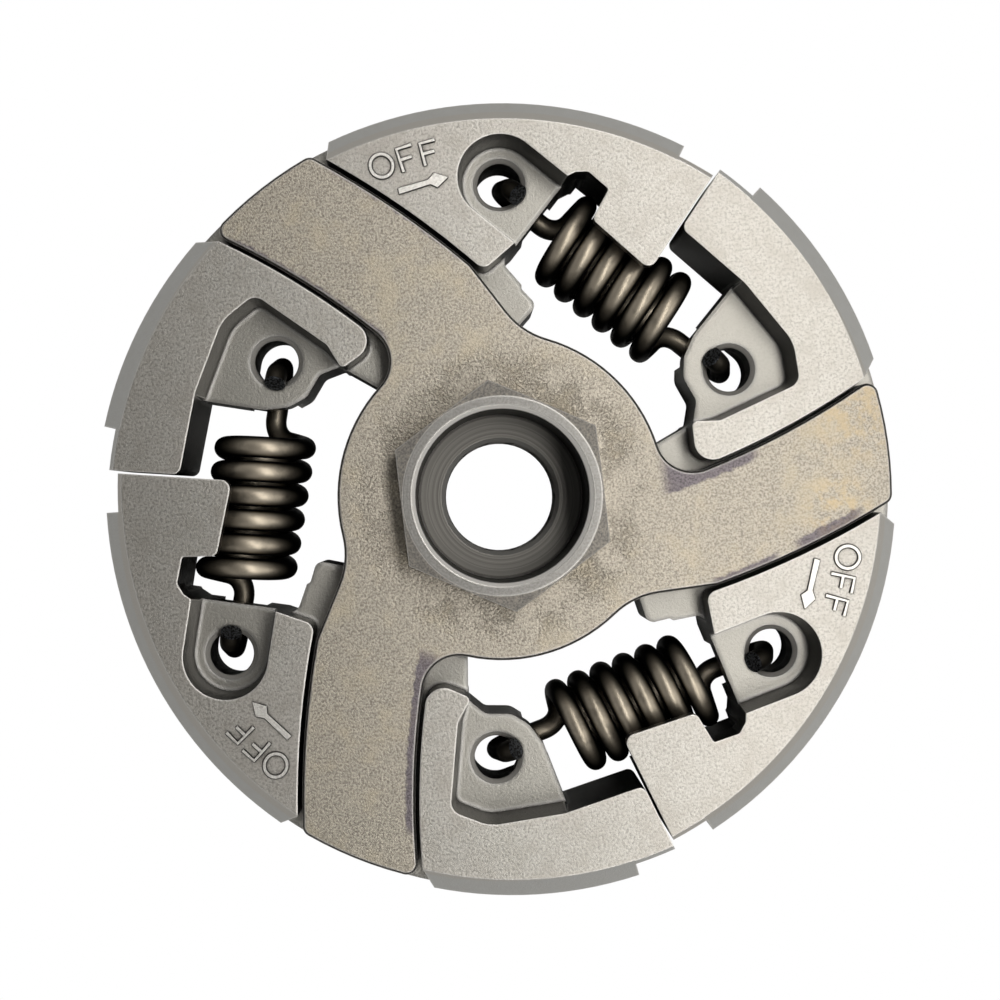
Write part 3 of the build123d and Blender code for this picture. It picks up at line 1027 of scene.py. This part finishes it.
@dataclass
class Marks:
    """Raised marks on the trailing block of each shoe: the word OFF and an arrow."""

    finish: bpy.types.Material
    face_height: float = 15.0 * MM
    relief: float = 0.26 * MM
    sink: float = 0.12 * MM
    stroke_top: float = 0.26 * MM
    stroke_base: float = 0.60 * MM
    arrow_draft: float = 0.15 * MM
    bar_drop: float = 0.02 * MM
    round_letter: Flat = (32.24 * MM, -9.86 * MM)
    round_size: Flat = (1.13 * MM, 1.08 * MM)
    ring_points: int = 40
    stems: tuple[tuple[Flat, Flat], ...] = (
        ((30.47 * MM, -11.20 * MM), (32.63 * MM, -11.92 * MM)),
        ((29.71 * MM, -13.24 * MM), (31.73 * MM, -14.03 * MM)),
    )
    bar_length: float = 1.5 * MM
    middle_bar_length: float = 1.2 * MM
    middle_bar_at: float = 0.52
    crease: float = 30.0
    arrow_mm: tuple[Flat, ...] = (
        (28.98, -9.46),
        (29.68, -9.76),
        (28.62, -12.62),
        (28.78, -13.52),
        (27.46, -14.40),
        (27.22, -12.84),
        (27.90, -12.46),
    )

    def strokes(self) -> list[tuple[list[Vector], bool]]:
        """Centre lines of the letters' strokes, and whether each closes."""
        z = self.face_height
        x, y = self.round_letter
        wide, tall = self.round_size
        turns = [2 * pi * i / self.ring_points for i in range(self.ring_points)]
        ring = [Vector((x + wide * cos(turn), y + tall * sin(turn), z)) for turn in turns]
        lines = [(ring, True)]
        for foot, head in self.stems:
            low, high = Vector((*foot, z)), Vector((*head, z))
            up = (high - low).normalized()
            read = Vector((up.y, -up.x, 0))
            middle = low.lerp(high, self.middle_bar_at) - Vector((0, 0, self.bar_drop))
            lines.append(([low, high, high + read * self.bar_length], False))
            lines.append(([middle, middle + read * self.middle_bar_length], False))
        return lines

    def tree(self) -> bpy.types.NodeTree:
        """Geometry tree that raises strokes with drafted sides along a curve."""
        graph, given = new_tree("raised_stroke", ["Height", "Top Width", "Base Width"])
        profile = graph.node(
            "GeometryNodeCurvePrimitiveQuadrilateral",
            {
                "Height": given.outputs["Height"],
                "Bottom Width": given.outputs["Top Width"],
                "Top Width": given.outputs["Base Width"],
                "Offset": 0.0,
            },
            mode="TRAPEZOID",
        )
        line = {"Curve": given.outputs["Geometry"]}
        upright = graph.node("GeometryNodeSetCurveNormal", line, mode="Z_UP").outputs[0]
        return sweep(graph, upright, profile, given.outputs["Finish"])

    def arrow_mesh(self) -> bpy.types.Mesh:
        """The arrow as a plate with drafted sides."""
        outline = [Vector((x * MM, y * MM)) for x, y in self.arrow_mm]
        inner = []
        for i, point in enumerate(outline):
            before = (point - outline[i - 1]).normalized()
            after = (outline[(i + 1) % len(outline)] - point).normalized()
            inward = Vector((before.y + after.y, -(before.x + after.x))).normalized()
            inner.append(point + inward * self.arrow_draft)
        shape = bmesh.new()
        low = [shape.verts.new((*p, self.face_height - self.sink)) for p in outline]
        high = [shape.verts.new((*p, self.face_height + self.relief)) for p in inner]
        shape.faces.new(high)
        shape.faces.new(list(reversed(low)))
        for i in range(len(low)):
            j = (i + 1) % len(low)
            shape.faces.new((low[i], low[j], high[j], high[i]))
        mesh = bpy.data.meshes.new("arrow")
        shape.to_mesh(mesh)
        shape.free()
        return mesh

    def build(self) -> None:
        """Builds the marks on each shoe."""
        tree = self.tree()
        values = {
            "Height": self.relief + self.sink,
            "Top Width": self.stroke_top,
            "Base Width": self.stroke_base,
            "Finish": self.finish,
        }
        raised = Matrix.Translation((0, 0, (self.relief - self.sink) / 2))
        for index in range(SHOE_COUNT):
            turn = Matrix.Rotation(ARM_STEP * index, 4, "Z")
            lines = [([turn @ raised @ p for p in points], closed) for points, closed in self.strokes()]
            piece = settled(add_curve("mark_path", lines), tree, values, f"turn_mark_{index + 1}")
            arrow = self.arrow_mesh()
            arrow.transform(turn)
            join = bmesh.new()
            join.from_mesh(piece.data)
            join.from_mesh(arrow)
            bmesh.ops.recalc_face_normals(join, faces=join.faces)
            join.to_mesh(piece.data)
            join.free()
            bpy.data.meshes.remove(arrow)
            smooth_by_angle(piece, self.crease)
            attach(piece, shoe_body(index))
            log.info("%s: %d faces", piece.name, len(piece.data.polygons))


@dataclass(frozen=True)
class Lamp:
    """A soft lamp that faces the clutch: its place, its width and length, and its power in watts."""

    name: str
    place: Place
    sides: Flat
    power: float


@dataclass
class Studio:
    """Camera above the clutch, soft lamps and a pale floor."""

    camera_height: float = 0.220
    camera_place: Flat = (-3.72 * MM, -0.69 * MM)
    focal: float = 76.9
    roll: float = -7.0
    shift: Flat = (0.036, 0.008)
    clip: Flat = (0.01, 20.0)
    floor_half: float = 2.0
    floor_height: float = -0.02 * MM
    floor_colour: Colour = (0.80, 0.80, 0.79)
    horizon: float = 0.34
    zenith: float = 0.08
    overhead: Fade = (0.60, 0.92)
    lamps: tuple[Lamp, ...] = (
        Lamp("key", (0.080, 0.0, 0.36), (0.06, 0.60), 0.68),
        Lamp("side", (0.34, -0.06, 0.30), (0.20, 0.30), 0.18),
    )
    lamp_colour: Colour = (1.0, 0.985, 0.96)

    def camera(self) -> None:
        """Adds the camera."""
        data = bpy.data.cameras.new("camera")
        data.lens = self.focal
        data.shift_x, data.shift_y = self.shift
        data.clip_start, data.clip_end = self.clip
        made = bpy.data.objects.new("camera", data)
        made.location = (*self.camera_place, self.camera_height)
        made.rotation_euler = (0, 0, radians(self.roll))
        bpy.context.scene.collection.objects.link(made)
        bpy.context.scene.camera = made

    def light(self, lamp: Lamp) -> None:
        """Adds one lamp."""
        data = bpy.data.lights.new(lamp.name, "AREA")
        data.shape = "RECTANGLE"
        data.size, data.size_y = lamp.sides
        data.energy, data.color = lamp.power, self.lamp_colour
        made = bpy.data.objects.new(lamp.name, data)
        made.location = lamp.place
        x, y, z = lamp.place
        made.rotation_euler = (-atan2(y, z), atan2(x, hypot(y, z)), 0)
        made.visible_camera = False
        bpy.context.scene.collection.objects.link(made)

    def floor(self) -> None:
        """Adds the pale floor, which looks white to the camera, as in the photo."""
        half, low = self.floor_half, self.floor_height
        corners = [(-half, -half, low), (half, -half, low), (half, half, low), (-half, half, low)]
        mesh = bpy.data.meshes.new("floor")
        mesh.from_pydata(corners, [], [(0, 1, 2, 3)])
        made = add_mesh("floor", mesh)
        paint = bpy.data.materials.new("floor_paint")
        paint.use_nodes = True
        paint.node_tree.nodes.clear()
        graph = Graph(paint.node_tree)
        matt = graph.node("ShaderNodeBsdfDiffuse", {"Color": (*self.floor_colour, 1.0)})
        glow = graph.node("ShaderNodeEmission", {"Color": (1, 1, 1, 1), "Strength": 1.0})
        seen = graph.node("ShaderNodeLightPath").outputs["Is Camera Ray"]
        mixed = graph.node("ShaderNodeMixShader", {0: seen, 1: matt.outputs[0], 2: glow.outputs[0]})
        graph.node("ShaderNodeOutputMaterial", {"Surface": mixed.outputs[0]})
        mesh.materials.append(paint)

    def world(self) -> None:
        """Sets a soft sky, dim overhead and lighter near the horizon, that the camera sees as white."""
        sky = bpy.data.worlds.new("sky")
        sky.use_nodes = True
        sky.node_tree.nodes.clear()
        graph = Graph(sky.node_tree)
        seen = graph.node("ShaderNodeLightPath").outputs["Is Camera Ray"]
        direction = graph.node("ShaderNodeTexCoord").outputs["Generated"]
        overhead = graph.step(graph.split(direction)[2], *self.overhead)
        light = graph.scaled(overhead, self.horizon, self.zenith)
        strength = graph.math("MAXIMUM", light, seen)
        back = graph.node("ShaderNodeBackground", {"Color": (1, 1, 1, 1), "Strength": strength})
        graph.node("ShaderNodeOutputWorld", {"Surface": back.outputs[0]})
        bpy.context.scene.world = sky

    def build(self) -> None:
        """Adds the whole studio."""
        self.camera()
        self.floor()
        self.world()
        for lamp in self.lamps:
            self.light(lamp)
        bpy.context.scene.view_settings.view_transform = "Standard"


def main() -> None:
    """Builds the studio and dresses the clutch."""
    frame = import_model()
    Studio().build()
    sintered = SinteredSteel("sintered_steel").material()
    cast = CastSteel("cast_steel").material()
    wire = OiledSpringSteel("oiled_spring_steel").material()
    # The marks' sides take the dark wall colour, which paints a shade outline round them.
    mark = SinteredSteel(
        "worn_mark_steel",
        face=(0.88, 0.86, 0.81),
        pore=(0.66, 0.64, 0.59),
        stain=(0.76, 0.73, 0.68),
        oxide_and_shade=(0.022, 0.020, 0.018),
        edge_width=0.07 * MM,
        gap_shade_reach=0.15 * MM,
    ).material()
    Spider(cast).build(frame["nodes"]["spider"])
    for index in range(SHOE_COUNT):
        Shoe(sintered).build(frame["nodes"][shoe_body(index)], index)
    Spring(wire).build()
    Marks(mark).build()


if __name__ == "__main__":
    main()
